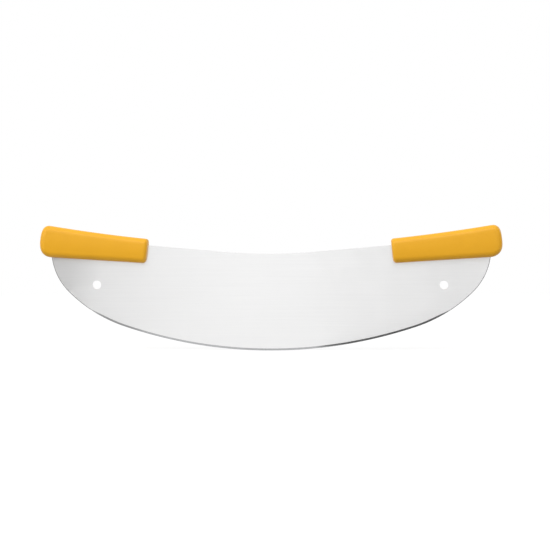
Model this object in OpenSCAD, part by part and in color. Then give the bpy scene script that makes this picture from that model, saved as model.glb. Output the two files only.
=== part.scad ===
// Rocking pizza knife: a crescent blade of stainless sheet with a moulded
// handle over each upper corner.
// The blade stands in the XZ plane with its cutting edge down. The origin is
// the lowest point of the edge, +X runs along the knife and +Z is up.

/* [Blade sheet] */
// Thickness of the sheet that the blade is stamped from
blade_thickness = 1.5; // [1:0.1:3]
// Depth of the blade at the middle, from spine to edge
blade_depth = 106.5; // [95:0.5:120]
// Radius of the long arc in the middle of the edge
edge_radius = 505; // [460:5:600]
// Slope of the edge where that arc ends, in degrees
edge_angle = 18.5; // [16:0.5:20]
// Radius of the shoulder arcs next to it
shoulder_radius = 160; // [140:2:180]
// Slope of the edge where the shoulder arc ends, in degrees
shoulder_angle = 45; // [40:1:50]
// Radius of the corner arcs that run up under the handles
corner_radius = 66; // [58:1:74]
// Radius of the hollow in the middle of the spine
spine_radius = 590; // [400:10:800]
// Slope of the straight runs of the spine, in degrees
spine_slope = 4.9; // [3.5:0.1:6]
// Radius of the upper corners, which the handles hide
tang_corner_radius = 6; // [3:0.5:10]

/* [Ground bevel] */
// Width of the bevel on each face
bevel_width = 2.2; // [1.5:0.1:4]
// Thickness left at the very edge
edge_land = 0.2; // [0.1:0.05:0.5]
// Slope of the edge where the grinding belt starts to run off, in degrees
bevel_stop_angle = 25.5; // [21:0.5:32]

/* [Hanging holes] */
// Diameter of the two holes
hole_diameter = 9.5; // [6:0.5:14]
// Width of the broken edge around each hole, on both faces
hole_chamfer = 0.25; // [0.1:0.05:0.5]
// Distance of a hole's centre from the widest point of the blade
hole_inset = 51; // [40:1:65]
// Height of a hole's centre above the lowest point of the edge
hole_height = 72; // [64:1:80]

/* [Tang windows] */
// Windows in the sheet under each handle, which the moulding fills
window_count = 3; // [2:1:4]
// Length of a window
window_length = 14; // [9:0.5:18]
// Height of a window
window_height = 7; // [5:0.5:9]
// Distance of the windows' centres below the spine
window_drop = 9.5; // [8:0.5:12]
// Distance of the end windows' centres from the ends of the covered strip
window_margin = 17; // [14:0.5:22]

/* [Handle size] */
// Length of a handle along its top
handle_length = 119; // [105:1:140]
// Height at the inner end
inner_height = 26.8; // [24:0.2:32]
// Height at the outer end
outer_height = 35.7; // [30:0.1:40]
// Thickness at the inner end
inner_thickness = 20; // [16:0.5:26]
// Thickness at the outer end
outer_thickness = 22; // [18:0.5:28]
// How far the top stands above the spine at the inner end
handle_rise = 6.8; // [5:0.2:11]
// How far the upper outer corner reaches past the blade
handle_overhang = 9.2; // [8:0.1:18]
// Tilt of the handle against the spine, in degrees
handle_cant = 2.9; // [0:0.05:4]
// Slant of the inner end, whose lower corner reaches further in than square, in degrees
inner_slant = 2; // [0:0.25:4]

/* [Handle rounding] */
// Dip of the top edge at its middle
top_sag = 1; // [0:0.1:3]
// Fall of the broad faces from their middle to their long edges
face_crown = 1.6; // [0:0.1:2]
// Radius along the four long edges
edge_fillet = 6; // [3:0.25:7]
// Radius of the outer end's upper corner
outer_top_radius = 9; // [6:0.5:12]
// Radius of the outer end's lower corner
outer_bottom_radius = 14.5; // [8:0.5:16]
// Radius from the outer end to the broad faces
outer_face_radius = 7; // [3:0.25:8]
// Radius of the inner end's upper corner
inner_top_radius = 3; // [2:0.25:5]
// Radius of the inner end's lower corner
inner_bottom_radius = 4; // [2:0.25:6]
// Radius from the inner end to the broad faces
inner_face_radius = 4; // [2:0.25:5]

/* [Hidden] */
$fn = 96;

// How far cutting shapes reach past what they cut
past = 4;

// How far the facets of a drawn arc may lie inside the true one
facet_error = 0.01;

// The edge: arc centres, each on the line through the last one and the joint
edge_centre = [0, edge_radius];
shoulder_centre = edge_centre + (edge_radius - shoulder_radius) * down(edge_angle);
corner_centre = shoulder_centre + (shoulder_radius - corner_radius) * down(shoulder_angle);
half_width = corner_centre.x + corner_radius;

// The spine: two straight runs, joined by an arc that touches both
spine_up = [-sin(spine_slope), cos(spine_slope)];
spine_centre = [0, blade_depth + spine_radius];
spine_touch = spine_centre - spine_radius * spine_up;

// The hidden upper corner: a small arc that touches the spine and the corner arc
spine_over_corner = (spine_touch - corner_centre) * spine_up;
tang_turn = asin((spine_over_corner - tang_corner_radius) / (corner_radius - tang_corner_radius));
tang_angle = 90 + spine_slope + tang_turn;
tang_centre = corner_centre + (corner_radius - tang_corner_radius) * down(tang_angle);

// Outline of the sheet's right half, from the middle of the edge to the middle of the spine
half_outline = concat(
    arc(edge_centre, edge_radius, 0, edge_angle),
    arc(shoulder_centre, shoulder_radius, edge_angle, shoulder_angle),
    arc(corner_centre, corner_radius, shoulder_angle, tang_angle),
    arc(tang_centre, tang_corner_radius, tang_angle, 180 + spine_slope),
    arc(spine_centre, spine_radius, spine_slope, 0),
    [[0, blade_depth]]
);

// The bevel
bevel_fall = (blade_thickness - edge_land) / 2 / bevel_width;
runoff_length = 2 * sqrt(2 * (bevel_width + past) * shoulder_radius);
half_grind = concat(
    facet_middles(shoulder_centre, shoulder_radius, edge_angle, bevel_stop_angle),
    [for (distance = [0, runoff_length])
        [shoulder_centre + shoulder_radius * down(bevel_stop_angle)
            - distance * down(bevel_stop_angle - 90), bevel_stop_angle]]
);

// The handle's own frame: its origin is the upper inner corner, its x runs outwards along the top
handle_tilt = spine_slope + handle_cant;
handle_x = half_width + handle_overhang - handle_length * cos(handle_tilt);
handle_z = spine_z(handle_x) + handle_rise;

// Hole and window places
hole_x = half_width - hole_inset;
window_first = handle_x + window_margin;
window_last = half_width - window_margin;

// How finely the handle's surface is drawn
inner_steps = 6;
body_steps = 9;
outer_steps = 9;
fillet_steps = 6;
face_steps = 6;

// Unit vector square to the edge, where the edge slopes by an angle
function down(slope) = [sin(slope), -cos(slope)];

// Height of the spine's straight run at a distance from the middle
function spine_z(x) = spine_touch.y + (x - spine_touch.x) * tan(spine_slope);

function mix(a, b, share) = a + (b - a) * share;

// Number of facets that draw an arc closely enough
function facets(radius, turn) = ceil(abs(turn) / (2 * acos(1 - facet_error / radius)));

// Points along an arc of the rim, from one slope of the rim up to another
function arc(centre, radius, from_slope, to_slope) =
    let (count = facets(radius, to_slope - from_slope))
    [for (i = [0:count - 1]) centre + radius * down(mix(from_slope, to_slope, i / count))];

// Points on the same arc halfway along its facets, each with the rim's slope there
function facet_middles(centre, radius, from_slope, to_slope) =
    let (count = facets(radius, to_slope - from_slope))
    [for (i = [0:count - 1])
        let (slope = mix(from_slope, to_slope, (i + 0.5) / count))
        [centre + radius * down(slope), slope]];

// A list from its last item to its first
function reversed(list) = [for (i = [len(list) - 1:-1:0]) list[i]];

// How far a rounded corner draws the outline in, at a distance from the end
function drawn_in(distance, radius) =
    distance >= radius ? 0 : radius - sqrt(radius * radius - (radius - distance) * (radius - distance));

// Draws children on the left and on the right
module both_sides() {
    children();
    mirror([1, 0, 0]) children();
}

// Turns a flat drawing, or what is built on it, up into the blade's plane
module upright() {
    rotate([90, 0, 0]) children();
}

// A window with round ends, lying along the spine
module window() {
    straight = window_length - window_height;
    square([straight, window_height], center = true);
    for (end = [-1, 1]) translate([end * straight / 2, 0]) circle(window_height / 2);
}

module windows() {
    for (i = [0:window_count - 1]) {
        x = mix(window_first, window_last, i / (window_count - 1));
        translate([x, spine_z(x)] - window_drop * spine_up) rotate(spine_slope) window();
    }
}

// Outline of the sheet as it leaves the press
module blank() {
    left_half = [for (point = reversed(half_outline)) if (point.x > 0) [-point.x, point.y]];
    difference() {
        polygon(concat(half_outline, left_half));
        both_sides() windows();
    }
}

// What the grinding belt takes off one face: a triangle swept round the edge,
// then straight on from where the belt runs off the sheet
module grind() {
    face = blade_thickness / 2;
    above = face + past * bevel_fall;
    below = face - (bevel_width + past) * bevel_fall;
    path = concat(
        [for (stop = reversed(half_grind)) [[-stop[0].x, stop[0].y], -stop[1]]],
        facet_middles(edge_centre, edge_radius, -edge_angle, edge_angle),
        half_grind
    );
    skin([for (stop = path)
        [for (corner = [[-bevel_width - past, above], [past, above], [past, below]])
            let (point = stop[0] + corner[0] * down(stop[1]))
            [point.x, point.y, corner[1]]]]);
}

module hanging_hole() {
    radius = hole_diameter / 2;
    cylinder(h = blade_thickness + past, r = radius, center = true);
    for (face = [0, 1]) mirror([0, 0, face]) translate([0, 0, blade_thickness / 2 - hole_chamfer])
        cylinder(h = 2 * hole_chamfer, r1 = radius, r2 = radius + 2 * hole_chamfer);
}

module blade() {
    color("gainsboro") upright() difference() {
        linear_extrude(blade_thickness, center = true) blank();
        for (face = [0, 1]) mirror([0, 0, face]) grind();
        both_sides() translate([hole_x, hole_height]) hanging_hole();
    }
}

// Distances of the handle's sections from its inner end, closer together at its rounded ends
inner_zone = max(inner_top_radius, inner_bottom_radius, inner_face_radius);
outer_zone = max(outer_top_radius, outer_bottom_radius, outer_face_radius);
stations = concat(
    [for (i = [0:inner_steps]) inner_zone * (1 - cos(90 * i / inner_steps))],
    [for (i = [1:body_steps - 1]) mix(inner_zone, handle_length - outer_zone, i / body_steps)],
    [for (i = [outer_steps:-1:0]) handle_length - outer_zone * (1 - cos(90 * i / outer_steps))]
);

// Section of the handle at a distance from its inner end: a rounded oblong with crowned faces
function section(along) =
    let (
        share = along / handle_length,
        rest = handle_length - along,
        top = -top_sag * (1 - (2 * share - 1) * (2 * share - 1))
            - drawn_in(along, inner_top_radius) - drawn_in(rest, outer_top_radius),
        bottom = -mix(inner_height, outer_height, share)
            + drawn_in(along, inner_bottom_radius) + drawn_in(rest, outer_bottom_radius),
        half_thick = mix(inner_thickness, outer_thickness, share) / 2
            - drawn_in(along, inner_face_radius) - drawn_in(rest, outer_face_radius),
        middle = (top + bottom) / 2,
        half_high = (top - bottom) / 2,
        fillet = min(edge_fillet, 0.9 * half_thick, 0.9 * half_high)
    )
    [for (p = oblong(half_thick, half_high, fillet))
        let (
            height = middle + p.y,
            slanted = along + (1 - share) * tan(inner_slant) * height,
            crown = face_crown / half_thick * (p.y / half_high) * (p.y / half_high)
        )
        [slanted, p.x * (1 - crown), height]];

// Outline of a rounded oblong, with points along its two tall sides for the crown
function oblong(half_thick, half_high, fillet) =
    [for (quarter = [0:3])
        let (
            right = quarter == 0 || quarter == 3 ? 1 : -1,
            upper = quarter < 2 ? 1 : -1,
            centre = [right * (half_thick - fillet), upper * (half_high - fillet)]
        )
        each concat(
            [for (i = [0:fillet_steps])
                let (turn = 90 * (quarter + i / fillet_steps))
                centre + fillet * [cos(turn), sin(turn)]],
            [for (i = [1:1:quarter % 2 == 1 ? face_steps - 1 : 0])
                [right * half_thick, 0] + [0, centre.y * (1 - 2 * i / face_steps)]]
        )];

// Closed skin over a list of sections with the same number of points
module skin(sections) {
    around = len(sections[0]);
    last = len(sections) - 1;
    polyhedron(
        points = [for (ring = sections) each ring],
        faces = concat(
            [[for (i = [0:around - 1]) i]],
            [for (k = [0:last - 1]) for (i = [0:around - 1])
                let (a = k * around + i, b = k * around + (i + 1) % around)
                each [[a, a + around, b], [b, a + around, b + around]]],
            [[for (i = [around - 1:-1:0]) last * around + i]]
        )
    );
}

// The right handle: the moulding, less the sheet that runs through it. The
// windows aren't part of the sheet, so the moulding closes through them.
module handle() {
    difference() {
        translate([handle_x, 0, handle_z]) rotate([0, -handle_tilt, 0])
            skin([for (along = stations) section(along)]);
        upright() linear_extrude(blade_thickness, center = true) blank();
    }
}

module right_handle() {
    color("goldenrod") handle();
}

module left_handle() {
    color("goldenrod") mirror([1, 0, 0]) handle();
}

blade();
left_handle();
right_handle();
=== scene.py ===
import math

import bmesh
import bpy
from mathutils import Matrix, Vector


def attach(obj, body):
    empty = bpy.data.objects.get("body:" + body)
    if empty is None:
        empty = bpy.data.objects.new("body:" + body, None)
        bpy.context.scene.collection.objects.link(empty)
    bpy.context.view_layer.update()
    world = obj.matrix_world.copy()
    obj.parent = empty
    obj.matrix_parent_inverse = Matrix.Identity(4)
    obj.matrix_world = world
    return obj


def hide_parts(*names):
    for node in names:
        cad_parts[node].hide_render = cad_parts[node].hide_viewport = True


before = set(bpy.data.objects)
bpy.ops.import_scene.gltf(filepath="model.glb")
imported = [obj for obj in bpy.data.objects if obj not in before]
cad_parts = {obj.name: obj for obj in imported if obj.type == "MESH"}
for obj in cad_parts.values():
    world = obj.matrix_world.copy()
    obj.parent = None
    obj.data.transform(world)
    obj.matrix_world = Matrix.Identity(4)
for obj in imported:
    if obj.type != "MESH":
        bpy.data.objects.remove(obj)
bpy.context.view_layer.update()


# The blade is stamped from one sheet of stainless steel, brushed along its length and ground on
# both faces of its lower rim, where the belt runs straight off at each end. Its upper corners
# have windows, through which the moulded handles lock it.
sheet_thickness = 0.0015
blade_depth = 0.1065
edge_radius, edge_angle = 0.505, math.radians(18.5)
shoulder_radius, shoulder_angle = 0.160, math.radians(45)
corner_radius, tang_corner_radius = 0.066, 0.006
spine_radius, spine_slope = 0.590, math.radians(4.9)
bevel_width, edge_land, bevel_stop = 0.0022, 0.0002, math.radians(25.5)
deburr, sheared_arris = 0.00035, 0.0006
hole_radius, hole_chamfer = 0.00475, 0.00025
hole_inset, hole_height = 0.051, 0.072
windows_a_side, window_length, window_height = 3, 0.014, 0.007
window_drop, window_margin = 0.0095, 0.017
arc_error, blade_sharp_angle = 0.000002, math.radians(8)


def down(slope):
    """The way out of the sheet, square to its rim, where the rim slopes by an angle."""
    return Vector((math.sin(slope), -math.cos(slope)))


def arc(centre, radius, start, stop, hollow=False):
    """Points along an arc of the rim, without the last one, each with the slope of the rim there."""
    steps = math.ceil(abs(stop - start) / (2 * math.acos(1 - arc_error / radius)))
    slopes = [start + (stop - start) * i / steps for i in range(steps)]
    return [(centre + radius * down(s), s + math.pi * hollow) for s in slopes]


edge_centre = Vector((0, edge_radius))
shoulder_centre = edge_centre + (edge_radius - shoulder_radius) * down(edge_angle)
corner_centre = shoulder_centre + (shoulder_radius - corner_radius) * down(shoulder_angle)
half_width = corner_centre.x + corner_radius
spine_centre = Vector((0, blade_depth + spine_radius))
spine_up = -down(spine_slope)
spine_touch = spine_centre - spine_radius * spine_up
tang_reach = (spine_touch - corner_centre).dot(spine_up) - tang_corner_radius
tang_angle = math.pi / 2 + spine_slope + math.asin(tang_reach / (corner_radius - tang_corner_radius))
tang_centre = corner_centre + (corner_radius - tang_corner_radius) * down(tang_angle)
tang_end = math.pi + spine_slope

right_rim = (
    arc(edge_centre, edge_radius, 0, edge_angle)
    + arc(shoulder_centre, shoulder_radius, edge_angle, shoulder_angle)
    + arc(corner_centre, corner_radius, shoulder_angle, tang_angle)
    + arc(tang_centre, tang_corner_radius, tang_angle, tang_end)
    + [(tang_centre + tang_corner_radius * down(tang_end), tang_end)]
    + arc(spine_centre, spine_radius, spine_slope, 0, hollow=True)
    + [(Vector((0, blade_depth)), math.pi)]
)
left_rim = [
    (Vector((-point.x, point.y)), -slope) for point, slope in reversed(right_rim) if point.x > 0
]
rim = right_rim + left_rim


def ground_width(slope):
    """Width of the bevel: full as far as the stop, then less as the belt runs straight off."""
    turned = min(max(abs(slope) - bevel_stop, 0), 1)
    return max((bevel_width - shoulder_radius * (1 - math.cos(turned))) / math.cos(turned), 0)


def spine_height(x):
    """Height of the spine's straight run at a distance from the middle."""
    return spine_touch.y + (x - spine_touch.x) * math.tan(spine_slope)


sheet = bmesh.new()
grain_uv = sheet.loops.layers.uv.new("Grain")
open_edges = {-1: [], 1: []}
BRUSHED, GROUND, SHEARED = 0, 1, 2


def at(flat, y):
    """A point of the blade's plane, at a depth."""
    return Vector((flat.x, y, flat.y))


def walls(rings, finishes):
    """Joins closed rings of points, from the front face to the back one, each place with its
    finish. The pattern runs round the rings and then across them."""
    made = [[sheet.verts.new(point) for point in ring] for ring in rings]
    across = 0
    for k in range(len(rings) - 1):
        width = (rings[k + 1][0] - rings[k][0]).length
        along = 0
        for i in range(len(rings[k])):
            step = (rings[k][i] - rings[k][i - 1]).length
            face = sheet.faces.new((made[k][i - 1], made[k][i], made[k + 1][i], made[k + 1][i - 1]))
            face.material_index = finishes[i]
            corners = ((along - step, 0), (along, 0), (along, width), (along - step, width))
            for loop, (run, drop) in zip(face.loops, corners):
                loop[grain_uv].uv = (run, across + drop)
            along += step
        across += width
    for side, ring in ((-1, made[0]), (1, made[-1])):
        open_edges[side] += [sheet.edges.get((ring[i - 1], ring[i])) for i in range(len(ring))]


def rim_finish(slope):
    """The bevel is ground, the ends of the rim are left as sheared, and the spine is brushed."""
    if ground_width(slope) > sheared_arris:
        return GROUND
    return SHEARED if abs(slope) < tang_angle else BRUSHED


rim_rings = [[], [], [], []]
for point, slope in rim:
    ground = ground_width(slope)
    arris = sheared_arris if rim_finish(slope) == SHEARED else deburr
    inner = point - max(ground, arris) * down(slope)
    ground_depth = ground * (sheet_thickness - edge_land) / 2 / bevel_width
    edge_half = sheet_thickness / 2 - max(ground_depth, deburr)
    rim_rings[0].append(at(inner, -sheet_thickness / 2))
    rim_rings[1].append(at(point, -edge_half))
    rim_rings[2].append(at(point, edge_half))
    rim_rings[3].append(at(inner, sheet_thickness / 2))
walls(rim_rings, [rim_finish(slope) for point, slope in rim])

for side in (-1, 1):
    hole_centre = Vector((side * (half_width - hole_inset), hole_height))
    steps = [slope for point, slope in arc(hole_centre, hole_radius, 0, 2 * math.pi)]
    walls([
        [at(hole_centre + (hole_radius + spread) * down(step), y) for step in steps]
        for spread, y in (
            (hole_chamfer, -sheet_thickness / 2),
            (0, hole_chamfer - sheet_thickness / 2),
            (0, sheet_thickness / 2 - hole_chamfer),
            (hole_chamfer, sheet_thickness / 2),
        )
    ], [BRUSHED] * len(steps))

# The handles' place is needed here already, because the windows are shared out under them.
handle_length, handle_overhang, handle_rise = 0.119, 0.0092, 0.0068
handle_tilt = spine_slope + math.radians(2.9)
handle_x = half_width + handle_overhang - handle_length * math.cos(handle_tilt)
handle_z = spine_height(handle_x) + handle_rise
first_window, last_window = handle_x + window_margin, half_width - window_margin
for side in (-1, 1):
    for i in range(windows_a_side):
        x = first_window + (last_window - first_window) * i / (windows_a_side - 1)
        middle = Vector((x, spine_height(x))) - window_drop * spine_up
        run = (window_length - window_height) / 2 * Vector((spine_up.y, -spine_up.x))
        outline = arc(middle + run, window_height / 2, spine_slope, spine_slope + math.pi)
        outline += arc(middle - run, window_height / 2, spine_slope + math.pi, spine_slope + 2 * math.pi)
        walls([
            [at(Vector((side * point.x, point.y)), y) for point, slope in outline]
            for y in (-sheet_thickness / 2, sheet_thickness / 2)
        ], [SHEARED] * len(outline))

for side, edges in open_edges.items():
    filled = bmesh.ops.triangle_fill(sheet, edges=edges, use_beauty=True, normal=(0, side, 0))
    for face in filled["geom"]:
        if isinstance(face, bmesh.types.BMFace):
            for loop in face.loops:
                loop[grain_uv].uv = loop.vert.co.xz
bmesh.ops.recalc_face_normals(sheet, faces=sheet.faces)

blade_mesh = bpy.data.meshes.new("blade_sheet")
sheet.to_mesh(blade_mesh)
sheet.free()
blade_mesh.polygons.foreach_set("use_smooth", [True] * len(blade_mesh.polygons))
blade_mesh.set_sharp_from_angle(angle=blade_sharp_angle)
blade = bpy.data.objects.new("blade_sheet", blade_mesh)
bpy.context.scene.collection.objects.link(blade)


def add(tree, kind, inputs=None, **settings):
    """Adds a node with its settings. An input is a number, or a socket to link."""
    node = tree.nodes.new(kind)
    for name, value in settings.items():
        setattr(node, name, value)
    for name, value in (inputs or {}).items():
        if isinstance(value, bpy.types.NodeSocket):
            tree.links.new(value, node.inputs[name])
        else:
            node.inputs[name].default_value = value
    return node


class Field:
    """A value that varies over a piece. Arithmetic on it adds Math nodes to its tree."""

    def __init__(self, tree, socket):
        self.tree, self.socket = tree, socket

    def math(self, operation, *values):
        sockets = [v.socket if isinstance(v, Field) else v for v in values]
        node = add(self.tree, "ShaderNodeMath", dict(enumerate(sockets)), operation=operation)
        return Field(self.tree, node.outputs[0])

    def __add__(self, other):
        return self.math("ADD", self, other)

    def __sub__(self, other):
        return self.math("SUBTRACT", self, other)

    def __rsub__(self, other):
        return self.math("SUBTRACT", other, self)

    def __mul__(self, other):
        return self.math("MULTIPLY", self, other)

    def __truediv__(self, other):
        return self.math("DIVIDE", self, other)

    __radd__, __rmul__ = __add__, __mul__


def effect(name, inputs, outputs):
    """A shader node group with named inputs and outputs. Returns it with its two end nodes."""
    tree = bpy.data.node_groups.new(name, "ShaderNodeTree")
    for label, kind in inputs.items():
        tree.interface.new_socket(label, in_out="INPUT", socket_type=kind)
    for label, kind in outputs.items():
        tree.interface.new_socket(label, in_out="OUTPUT", socket_type=kind)
    return tree, tree.nodes.new("NodeGroupInput"), tree.nodes.new("NodeGroupOutput")


def new_material(name):
    """An empty material with its shader. Returns the material, its tree and the shader."""
    material = bpy.data.materials.new(name)
    material.use_nodes = True
    material.node_tree.nodes.clear()
    shader = add(material.node_tree, "ShaderNodeBsdfPrincipled")
    add(material.node_tree, "ShaderNodeOutputMaterial", {"Surface": shader.outputs["BSDF"]})
    return material, material.node_tree, shader


def blend(tree, share, low, high):
    """Colour between two others."""
    ends = {"Factor": share.socket, 6: (*low, 1), 7: (*high, 1)}
    mix = add(tree, "ShaderNodeMix", ends, data_type="RGBA")
    return mix.outputs[2]


# Lines left by an abrasive, along the first axis of the pattern
rubbed_lines, given, result = effect(
    "Rubbed lines",
    {"Vector": "NodeSocketVector", "Line length": "NodeSocketFloat", "Line width": "NodeSocketFloat"},
    {"Lines": "NodeSocketFloat"},
)
line_size = add(rubbed_lines, "ShaderNodeCombineXYZ", {
    "X": given.outputs["Line length"],
    "Y": given.outputs["Line width"],
    "Z": given.outputs["Line width"],
})
stretched = add(
    rubbed_lines, "ShaderNodeVectorMath",
    {0: given.outputs["Vector"], 1: line_size.outputs[0]}, operation="DIVIDE",
)
line_noise = add(
    rubbed_lines, "ShaderNodeTexNoise",
    {"Vector": stretched.outputs[0], "Scale": 1, "Detail": 4, "Roughness": 0.65},
)
spread = add(
    rubbed_lines, "ShaderNodeMapRange",
    {"Value": line_noise.outputs[0], "From Min": 0.3, "From Max": 0.7, "To Min": 0, "To Max": 1},
)
rubbed_lines.links.new(spread.outputs[0], result.inputs["Lines"])

# Faint patches where the finish is a little duller from being held and wiped
handling, given, result = effect(
    "Handling marks",
    {"Vector": "NodeSocketVector", "Patch size": "NodeSocketFloat"},
    {"Patches": "NodeSocketFloat"},
)
patch_place = add(
    handling, "ShaderNodeVectorMath",
    {0: given.outputs["Vector"], 1: given.outputs["Patch size"]}, operation="DIVIDE",
)
patch_noise = add(
    handling, "ShaderNodeTexNoise",
    {"Vector": patch_place.outputs[0], "Scale": 1, "Detail": 5, "Roughness": 0.6, "Distortion": 0.6},
)
patch_mask = add(
    handling, "ShaderNodeMapRange",
    {"Value": patch_noise.outputs[0], "From Min": 0.48, "From Max": 0.72, "To Min": 0, "To Max": 1},
)
handling.links.new(patch_mask.outputs[0], result.inputs["Patches"])


def lines(tree, vector, length, width):
    """The rubbed lines of a length and width in metres."""
    node = add(tree, "ShaderNodeGroup", node_tree=rubbed_lines)
    tree.links.new(vector, node.inputs["Vector"])
    node.inputs["Line length"].default_value = length
    node.inputs["Line width"].default_value = width
    return Field(tree, node.outputs["Lines"])


def patches(tree, vector, size):
    """The handling marks of a size in metres."""
    node = add(tree, "ShaderNodeGroup", node_tree=handling)
    tree.links.new(vector, node.inputs["Vector"])
    node.inputs["Patch size"].default_value = size
    return Field(tree, node.outputs["Patches"])


brushed_steel, tree, shader = new_material("Brushed steel")
place = add(tree, "ShaderNodeTexCoord").outputs["Object"]
fine_lines = lines(tree, place, 0.030, 0.00022)
long_lines = lines(tree, place, 0.120, 0.0011)
marks = patches(tree, place, 0.035)
tree.links.new(
    blend(tree, 0.4 * fine_lines + 0.6 * long_lines, (0.793, 0.792, 0.792), (0.828, 0.827, 0.826)),
    shader.inputs["Base Color"],
)
tree.links.new((0.28 + 0.04 * fine_lines + 0.04 * marks).socket, shader.inputs["Roughness"])
relief = add(
    tree, "ShaderNodeBump",
    {"Height": (fine_lines + 0.6 * long_lines).socket, "Strength": 0.25, "Distance": 0.00002},
)
tree.links.new(relief.outputs[0], shader.inputs["Normal"])
along_blade = add(tree, "ShaderNodeTangent", direction_type="UV_MAP", uv_map="Grain")
tree.links.new(along_blade.outputs[0], shader.inputs["Tangent"])
shader.inputs["Metallic"].default_value = 1
shader.inputs["Anisotropic"].default_value = 0.75
shader.inputs["Anisotropic Rotation"].default_value = 0.25


def across_the_rim(tree):
    """The place on the rim, with the first axis from the rim to the face."""
    along = add(tree, "ShaderNodeUVMap", uv_map="Grain")
    place = add(tree, "ShaderNodeSeparateXYZ", {0: along.outputs[0]})
    turned = add(tree, "ShaderNodeCombineXYZ", {"X": place.outputs[1], "Y": place.outputs[0]})
    return turned.outputs[0]


# On the bevel the lines run across, from the rim to the face, as a belt leaves them
ground_and_shaded_steel, tree, shader = new_material("Ground and shaded steel")
across_rim = across_the_rim(tree)
belt_lines = lines(tree, across_rim, 0.006, 0.00012)
belt_waves = lines(tree, across_rim, 0.020, 0.004)
# The bevel's colour is darker than the face's partly for its coarser grind and partly as painted shade,
# standing in for the darker surroundings that the bevel reflects.
tree.links.new(
    blend(tree, 0.6 * belt_lines + 0.4 * belt_waves, (0.385, 0.388, 0.396), (0.500, 0.504, 0.511)),
    shader.inputs["Base Color"],
)
tree.links.new((0.26 + 0.08 * belt_lines).socket, shader.inputs["Roughness"])
relief = add(tree, "ShaderNodeBump", {"Height": belt_lines.socket, "Strength": 0.3, "Distance": 0.00002})
tree.links.new(relief.outputs[0], shader.inputs["Normal"])
along_rim = add(tree, "ShaderNodeTangent", direction_type="UV_MAP", uv_map="Grain")
tree.links.new(along_rim.outputs[0], shader.inputs["Tangent"])
shader.inputs["Metallic"].default_value = 1
shader.inputs["Anisotropic"].default_value = 0.5

# Where the rim isn't ground, it is left as the press shears it: duller, with short lines across. Its
# near-black colour is partly the sheared face's own grey and partly painted shade, for the dark line
# along the unground rim.
sheared_and_shaded_steel, tree, shader = new_material("Sheared and shaded steel")
shear_lines = lines(tree, across_the_rim(tree), 0.0015, 0.0002)
tree.links.new(
    blend(tree, shear_lines, (0.10, 0.10, 0.105), (0.19, 0.19, 0.195)), shader.inputs["Base Color"]
)
tree.links.new((0.42 + 0.12 * shear_lines).socket, shader.inputs["Roughness"])
relief = add(
    tree, "ShaderNodeBump", {"Height": shear_lines.socket, "Strength": 0.3, "Distance": 0.00003}
)
tree.links.new(relief.outputs[0], shader.inputs["Normal"])
shader.inputs["Metallic"].default_value = 1

for finish in (brushed_steel, ground_and_shaded_steel, sheared_and_shaded_steel):
    blade_mesh.materials.append(finish)
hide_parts("blade")
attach(blade, "root")


# The handles are solid plastic, moulded over the windowed corners of the sheet in a mould that
# parts in the sheet's plane, so a fine line runs round them there. They grow in height and
# thickness towards their outer ends, and their surface has the mould's fine grain.
handle_sizes = {
    "Length": handle_length,
    "Inner height": 0.0268,
    "Outer height": 0.0357,
    "Inner thickness": 0.020,
    "Outer thickness": 0.022,
    "Inner slant": math.radians(2),
    "Top sag": 0.001,
    "Face crown": 0.0016,
    "Edge fillet": 0.006,
    "Inner top radius": 0.003,
    "Inner bottom radius": 0.004,
    "Inner face radius": 0.004,
    "Outer top radius": 0.009,
    "Outer bottom radius": 0.0145,
    "Outer face radius": 0.007,
    "Parting line radius": 0.00009,
    "Tilt": handle_tilt,
    "Inner corner x": handle_x,
    "Inner corner z": handle_z,
}
vertices_along, vertices_through, vertices_up = 91, 33, 45
fillet_share, bead_sides = 0.9, 8
smallest_share, smallest_over = 0.0001, 0.0000001
plane_error, merge_distance = 0.000001, 0.000002
handle_sharp_angle = math.radians(35)

moulding = bpy.data.node_groups.new("Handle moulding", "GeometryNodeTree")
moulding.interface.new_socket("Geometry", in_out="OUTPUT", socket_type="NodeSocketGeometry")
for label in handle_sizes:
    moulding.interface.new_socket(label, in_out="INPUT", socket_type="NodeSocketFloat")
moulding.interface.new_socket("Turn", in_out="INPUT", socket_type="NodeSocketFloat")
moulding.interface.new_socket("Sheet", in_out="INPUT", socket_type="NodeSocketObject")
moulding.interface.new_socket("Plastic", in_out="INPUT", socket_type="NodeSocketMaterial")
given = moulding.nodes.new("NodeGroupInput")
size = {label: Field(moulding, given.outputs[label]) for label in handle_sizes}


def least(*values):
    """The least of some values."""
    first, *others = values
    for other in others:
        first = first.math("MINIMUM", first, other)
    return first


def greatest(a, b):
    """The greater of two values."""
    return a.math("MAXIMUM", a, b)


def root(a):
    """Square root."""
    return a.math("SQRT", a)


def drawn_in(distance, radius):
    """How far a rounded corner draws the outline in, at a distance from the end."""
    short = greatest(radius - distance, 0)
    return radius - root(radius * radius - short * short)


def held(a, limit):
    """A value kept between a limit and its negative."""
    return greatest(least(a, limit), 0 - limit)


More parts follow.
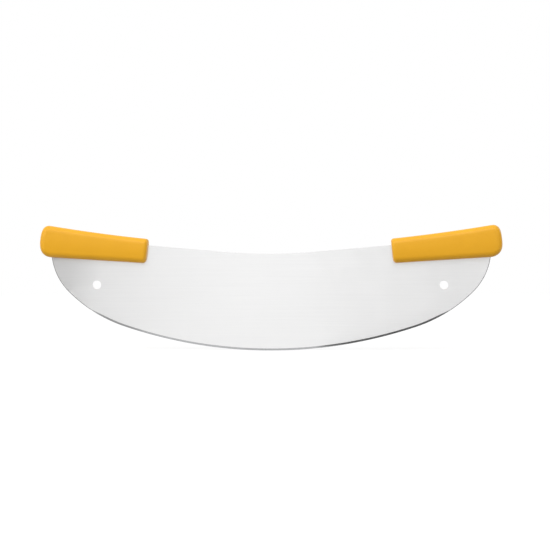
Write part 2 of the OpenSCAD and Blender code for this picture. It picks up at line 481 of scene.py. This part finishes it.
# Each point of a finely divided block is moved to its place on the handle
block = add(moulding, "GeometryNodeMeshCube", {
    "Size": (2, 2, 2),
    "Vertices X": vertices_along, "Vertices Y": vertices_through, "Vertices Z": vertices_up,
})
position = moulding.nodes.new("GeometryNodeInputPosition").outputs[0]
block_place = add(moulding, "ShaderNodeSeparateXYZ", {0: position})
block_x, block_y, block_z = (Field(moulding, socket) for socket in block_place.outputs)
share = 0.5 + 0.5 * block_x.math("SINE", block_x * (math.pi / 2))
along = share * size["Length"]
rest = size["Length"] - along
sway = 2 * share - 1
top = (
    size["Top sag"] * (sway * sway - 1)
    - drawn_in(along, size["Inner top radius"])
    - drawn_in(rest, size["Outer top radius"])
)
bottom = (
    drawn_in(along, size["Inner bottom radius"])
    + drawn_in(rest, size["Outer bottom radius"])
    - (size["Inner height"] + share * (size["Outer height"] - size["Inner height"]))
)
half_thick = (
    0.5 * (size["Inner thickness"] + share * (size["Outer thickness"] - size["Inner thickness"]))
    - drawn_in(along, size["Inner face radius"])
    - drawn_in(rest, size["Outer face radius"])
)
half_high = 0.5 * (top - bottom)
fillet = least(size["Edge fillet"], fillet_share * half_thick, fillet_share * half_high)

# The outline of the section: a point on the block's side is held to the straight part, and goes
# out from there by the fillet. Points inside the ends are shrunk towards the middle.
out_share = greatest(
    greatest(block_y.math("ABSOLUTE", block_y), block_z.math("ABSOLUTE", block_z)), smallest_share
)
side_y = half_thick * (block_y / out_share)
side_z = half_high * (block_z / out_share)
straight_y = held(side_y, half_thick - fillet)
straight_z = held(side_z, half_high - fillet)
over_y = side_y - straight_y
over_z = side_z - straight_z
over = greatest(root(over_y * over_y + over_z * over_z), smallest_over)
section_y = out_share * (straight_y + fillet * over_y / over)
section_z = out_share * (straight_z + fillet * over_z / over)
height_share = section_z / half_high
crowned_y = section_y - section_y / half_thick * size["Face crown"] * height_share * height_share
height = 0.5 * (top + bottom) + section_z
slant = size["Inner slant"].math("TANGENT", size["Inner slant"])
slanted = along + (1 - share) * slant * height
handle_place = add(moulding, "ShaderNodeCombineXYZ", {
    "X": slanted.socket, "Y": crowned_y.socket, "Z": height.socket,
})
least_over = least(over_y.math("ABSOLUTE", over_y), over_z.math("ABSOLUTE", over_z))
rounding = least_over / fillet
marked = add(
    moulding, "GeometryNodeStoreNamedAttribute",
    {"Geometry": block.outputs["Mesh"], "Name": "Rounding", "Value": rounding.socket},
    data_type="FLOAT", domain="POINT",
)
shaped = add(moulding, "GeometryNodeSetPosition", {
    "Geometry": marked.outputs[0], "Position": handle_place.outputs[0],
})

# The parting line is a fine bead along the edges that lie in the sheet's plane
depth_y = Field(moulding, add(moulding, "ShaderNodeSeparateXYZ", {0: position}).outputs["Y"])
in_plane = add(
    moulding, "FunctionNodeCompare",
    {0: depth_y.math("ABSOLUTE", depth_y).socket, 1: plane_error}, operation="LESS_THAN",
)
parting = add(moulding, "GeometryNodeMeshToCurve", {
    "Mesh": shaped.outputs[0], "Selection": in_plane.outputs[0],
})
bead = add(moulding, "GeometryNodeCurvePrimitiveCircle", {
    "Resolution": bead_sides, "Radius": size["Parting line radius"].socket,
})
parting_line = add(moulding, "GeometryNodeCurveToMesh", {
    "Curve": parting.outputs[0], "Profile Curve": bead.outputs[0],
})

# The moulding and its line are put in place, and the sheet is cut out of the moulding
tilted = add(moulding, "ShaderNodeCombineXYZ", {"Y": (0 - size["Tilt"]).socket})
moved = add(moulding, "ShaderNodeCombineXYZ", {
    "X": size["Inner corner x"].socket, "Z": size["Inner corner z"].socket,
})
turned = add(moulding, "ShaderNodeCombineXYZ", {"Z": given.outputs["Turn"]})


def placed(geometry):
    """Geometry tilted and moved to its end of the blade."""
    there = add(moulding, "GeometryNodeTransform", {
        "Geometry": geometry, "Translation": moved.outputs[0], "Rotation": tilted.outputs[0],
    })
    return add(moulding, "GeometryNodeTransform", {
        "Geometry": there.outputs[0], "Rotation": turned.outputs[0],
    }).outputs[0]


sheet_shape = add(moulding, "GeometryNodeObjectInfo", {"Object": given.outputs["Sheet"]})
# The manifold solver leaves the handle closed and the same in every run; the exact one does neither.
slotted = add(
    moulding, "GeometryNodeMeshBoolean", {"Mesh 1": placed(shaped.outputs[0])},
    operation="DIFFERENCE", solver="MANIFOLD",
)
moulding.links.new(sheet_shape.outputs["Geometry"], slotted.inputs["Mesh 2"])
# Points that the cut leaves on top of each other are made one
merged = add(moulding, "GeometryNodeMergeByDistance", {
    "Geometry": slotted.outputs["Mesh"], "Distance": merge_distance,
})
joined = moulding.nodes.new("GeometryNodeJoinGeometry")
moulding.links.new(placed(parting_line.outputs[0]), joined.inputs[0])
moulding.links.new(merged.outputs[0], joined.inputs[0])
smooth = add(moulding, "GeometryNodeSetShadeSmooth", {"Geometry": joined.outputs[0]})
real = add(moulding, "GeometryNodeRealizeInstances", {"Geometry": smooth.outputs[0]})
finished = add(moulding, "GeometryNodeSetMaterial", {
    "Geometry": real.outputs[0], "Material": given.outputs["Plastic"],
})
add(moulding, "NodeGroupOutput", {"Geometry": finished.outputs[0]})

moulded_plastic, tree, shader = new_material("Moulded plastic")
place = add(tree, "ShaderNodeTexCoord").outputs["Object"]
worn = Field(tree, add(tree, "ShaderNodeAttribute", attribute_name="Rounding").outputs["Fac"])
marks = patches(tree, place, 0.022)
flow = Field(tree, add(
    tree, "ShaderNodeTexNoise", {"Vector": place, "Scale": 45, "Detail": 3, "Distortion": 0.8}
).outputs[0])
grain = Field(tree, add(
    tree, "ShaderNodeTexNoise", {"Vector": place, "Scale": 1900, "Detail": 2, "Roughness": 0.5}
).outputs[0])
tree.links.new(
    blend(tree, flow + 0.3 * worn * marks, (0.800, 0.385, 0.0040), (0.860, 0.425, 0.0080)),
    shader.inputs["Base Color"],
)
tree.links.new((0.40 + 0.08 * grain - 0.06 * marks - 0.05 * worn).socket, shader.inputs["Roughness"])
shader.inputs["Specular IOR Level"].default_value = 0.4
relief = add(tree, "ShaderNodeBump", {"Height": grain.socket, "Strength": 0.30, "Distance": 0.00004})
tree.links.new(relief.outputs[0], shader.inputs["Normal"])

for name, turn in (("right_handle", 0), ("left_handle", math.pi)):
    drawing = bpy.data.objects.new("handle_drawing", bpy.data.meshes.new("handle_drawing"))
    bpy.context.scene.collection.objects.link(drawing)
    modifier = drawing.modifiers.new("Handle moulding", "NODES")
    modifier.node_group = moulding
    values = {**handle_sizes, "Turn": turn, "Sheet": blade, "Plastic": moulded_plastic}
    for socket in moulding.interface.items_tree:
        if socket.in_out == "INPUT":
            modifier[socket.identifier] = values[socket.name]
    drawing.update_tag()
    evaluated = drawing.evaluated_get(bpy.context.evaluated_depsgraph_get())
    handle_mesh = bpy.data.meshes.new_from_object(evaluated)
    # The cut also brings in the sheet's materials, which no face of the handle wears
    handle_mesh.materials.clear()
    handle_mesh.materials.append(moulded_plastic)
    handle_mesh.set_sharp_from_angle(angle=handle_sharp_angle)
    bpy.data.objects.remove(drawing)
    handle = bpy.data.objects.new(name + "_moulding", handle_mesh)
    bpy.context.scene.collection.objects.link(handle)
    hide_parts(name)
    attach(handle, "root")


# The stage: a plain pale floor under the edge, white for the camera and in reflections, and
# greyer for the light that it throws back up.
floor_half = 4
floor_glow, floor_white, floor_grey = 0.70, 0.32, 0.30
floor_mesh = bpy.data.meshes.new("floor")
floor_corners = [(x * floor_half, y * floor_half, 0) for x, y in ((-1, -1), (1, -1), (1, 1), (-1, 1))]
floor_mesh.from_pydata(floor_corners, [], [(0, 1, 2, 3)])
floor = bpy.data.objects.new("floor", floor_mesh)
bpy.context.scene.collection.objects.link(floor)

floor_paint = bpy.data.materials.new("Floor")
floor_paint.use_nodes = True
tree = floor_paint.node_tree
tree.nodes.clear()
ray = add(tree, "ShaderNodeLightPath")
seen = Field(tree, ray.outputs["Is Camera Ray"])
for kind in ("Is Glossy Ray", "Is Transmission Ray"):
    seen = greatest(seen, Field(tree, ray.outputs[kind]))
grey = add(tree, "ShaderNodeBsdfDiffuse", {"Color": (floor_grey, floor_grey, floor_grey, 1)})
white = add(tree, "ShaderNodeAddShader", {
    0: add(tree, "ShaderNodeEmission", {"Color": (1, 1, 1, 1), "Strength": floor_glow}).outputs[0],
    1: add(tree, "ShaderNodeBsdfDiffuse", {
        "Color": (floor_white, floor_white, floor_white, 1),
    }).outputs[0],
})
mix = add(tree, "ShaderNodeMixShader", {0: seen.socket, 1: grey.outputs[0], 2: white.outputs[0]})
add(tree, "ShaderNodeOutputMaterial", {"Surface": mix.outputs[0]})
floor_mesh.materials.append(floor_paint)

# Three cards that only reflections see, and that darken the steel. Two lie on the floor, along
# the places that the bevel looks down at: one in front of its right half, and one in front of its
# left end. The third stands in front of the blade's left end. Their places suit the camera below.
# From the left side the first one shows in the blade's face as a grey patch.
right_card = ((0.053, -0.005), (0.09, -0.024), (0.235, -0.096), (0.235, -0.042), (0.09, -0.009))
left_card = ((-0.138, -0.030), (-0.18, -0.060), (-0.235, -0.106), (-0.235, -0.046), (-0.18, -0.030))
end_card = ((-0.36, 0), (-0.26, 0), (-0.26, 0.11), (-0.36, 0.11))
end_card_y, card_lift = -0.25, 0.0005
for grey, card_corners in (
    (0.02, [(x, y, 0) for x, y in right_card]),
    (0.45, [(x, y, 0) for x, y in left_card]),
    (0.52, [(x, end_card_y, z) for x, z in end_card]),
):
    card_paint, tree, shader = new_material("Card")
    shader.inputs["Base Color"].default_value = (grey, grey, grey, 1)
    shader.inputs["Roughness"].default_value = 0.9
    card_mesh = bpy.data.meshes.new("dark_card")
    raised_corners = [(x, y, z + card_lift) for x, y, z in card_corners]
    card_mesh.from_pydata(raised_corners, [], [range(len(raised_corners))])
    card_mesh.materials.append(card_paint)
    card = bpy.data.objects.new("dark_card", card_mesh)
    bpy.context.scene.collection.objects.link(card)
    card.visible_camera = card.visible_diffuse = card.visible_shadow = False

# The room is white behind the knife. In front it is a grey studio for the knife's surfaces, with
# a tall soft light just left of the camera and a wider one to the right. A level's place is the
# sine of the angle to the left (negative) or right of straight ahead.
studio_levels = (
    (-1.0, 0.95), (-0.42, 0.66), (-0.27, 0.40), (-0.20, 0.34), (-0.15, 0.80), (-0.08, 1.50),
    (0.0, 0.45), (0.12, 0.47), (0.25, 1.13), (0.5, 1.28), (1.0, 0.25),
)
room = bpy.data.worlds.new("Room")
bpy.context.scene.world = room
room.use_nodes = True
tree = room.node_tree
tree.nodes.clear()
direction = add(tree, "ShaderNodeSeparateXYZ", {0: add(tree, "ShaderNodeTexCoord").outputs["Generated"]})
east, north, up = (Field(tree, socket) for socket in direction.outputs)
sideways = east / root(greatest(east * east + north * north, 0.0001))
profile = add(tree, "ShaderNodeValToRGB", {0: (0.5 * sideways + 0.5).socket})
ramp = profile.color_ramp.elements
brightest = max(level for place, level in studio_levels)
for place, level in studio_levels[1:-1]:
    ramp.new(0.5 * place + 0.5)
for stop, (place, level) in zip(ramp, studio_levels):
    stop.color = (level / brightest, level / brightest, level / brightest, 1)
front = brightest * Field(tree, profile.outputs[0]) * (1 + 0.5 * greatest(up, 0))
behind = Field(tree, add(
    tree, "ShaderNodeMapRange", {"Value": north.socket, "From Min": -0.1, "From Max": 0.2}
).outputs[0])
seen = Field(tree, add(tree, "ShaderNodeLightPath").outputs["Is Camera Ray"])
white = greatest(seen, behind)
background = add(tree, "ShaderNodeBackground", {
    "Color": (1, 1, 1, 1), "Strength": (white + (1 - white) * front).socket,
})
add(tree, "ShaderNodeOutputWorld", {"Surface": background.outputs[0]})

# Two soft lamps: one over the front, which draws the light band along the tops of the handles,
# and one at the front left
lamp_side, lamp_aim = 1.0, Vector((0, 0, 0.08))
for name, spot, power in (
    ("over_front", Vector((0, -1.2, 1.3)), 6.2),
    ("front_left", Vector((-1.5, -1.7, 1.1)), 12.5),
):
    lamp = bpy.data.lights.new(name, "AREA")
    lamp.shape, lamp.size, lamp.energy = "SQUARE", lamp_side, power
    stand = bpy.data.objects.new(name, lamp)
    stand.location = spot
    stand.rotation_euler = (lamp_aim - spot).to_track_quat("-Z", "Y").to_euler()
    bpy.context.scene.collection.objects.link(stand)

# The camera stands to the right of the middle, level with the blade
camera_spot, camera_aim = Vector((0.0989, -1.497, 0.0829)), Vector((0.0065, 0, 0.0829))
camera_data = bpy.data.cameras.new("camera")
camera_data.sensor_width, camera_data.lens = 36, 89.4
camera = bpy.data.objects.new("camera", camera_data)
camera.location = camera_spot
camera.rotation_euler = (camera_aim - camera_spot).to_track_quat("-Z", "Y").to_euler()
bpy.context.scene.collection.objects.link(camera)
bpy.context.scene.camera = camera

bpy.context.scene.view_settings.view_transform = "Standard"
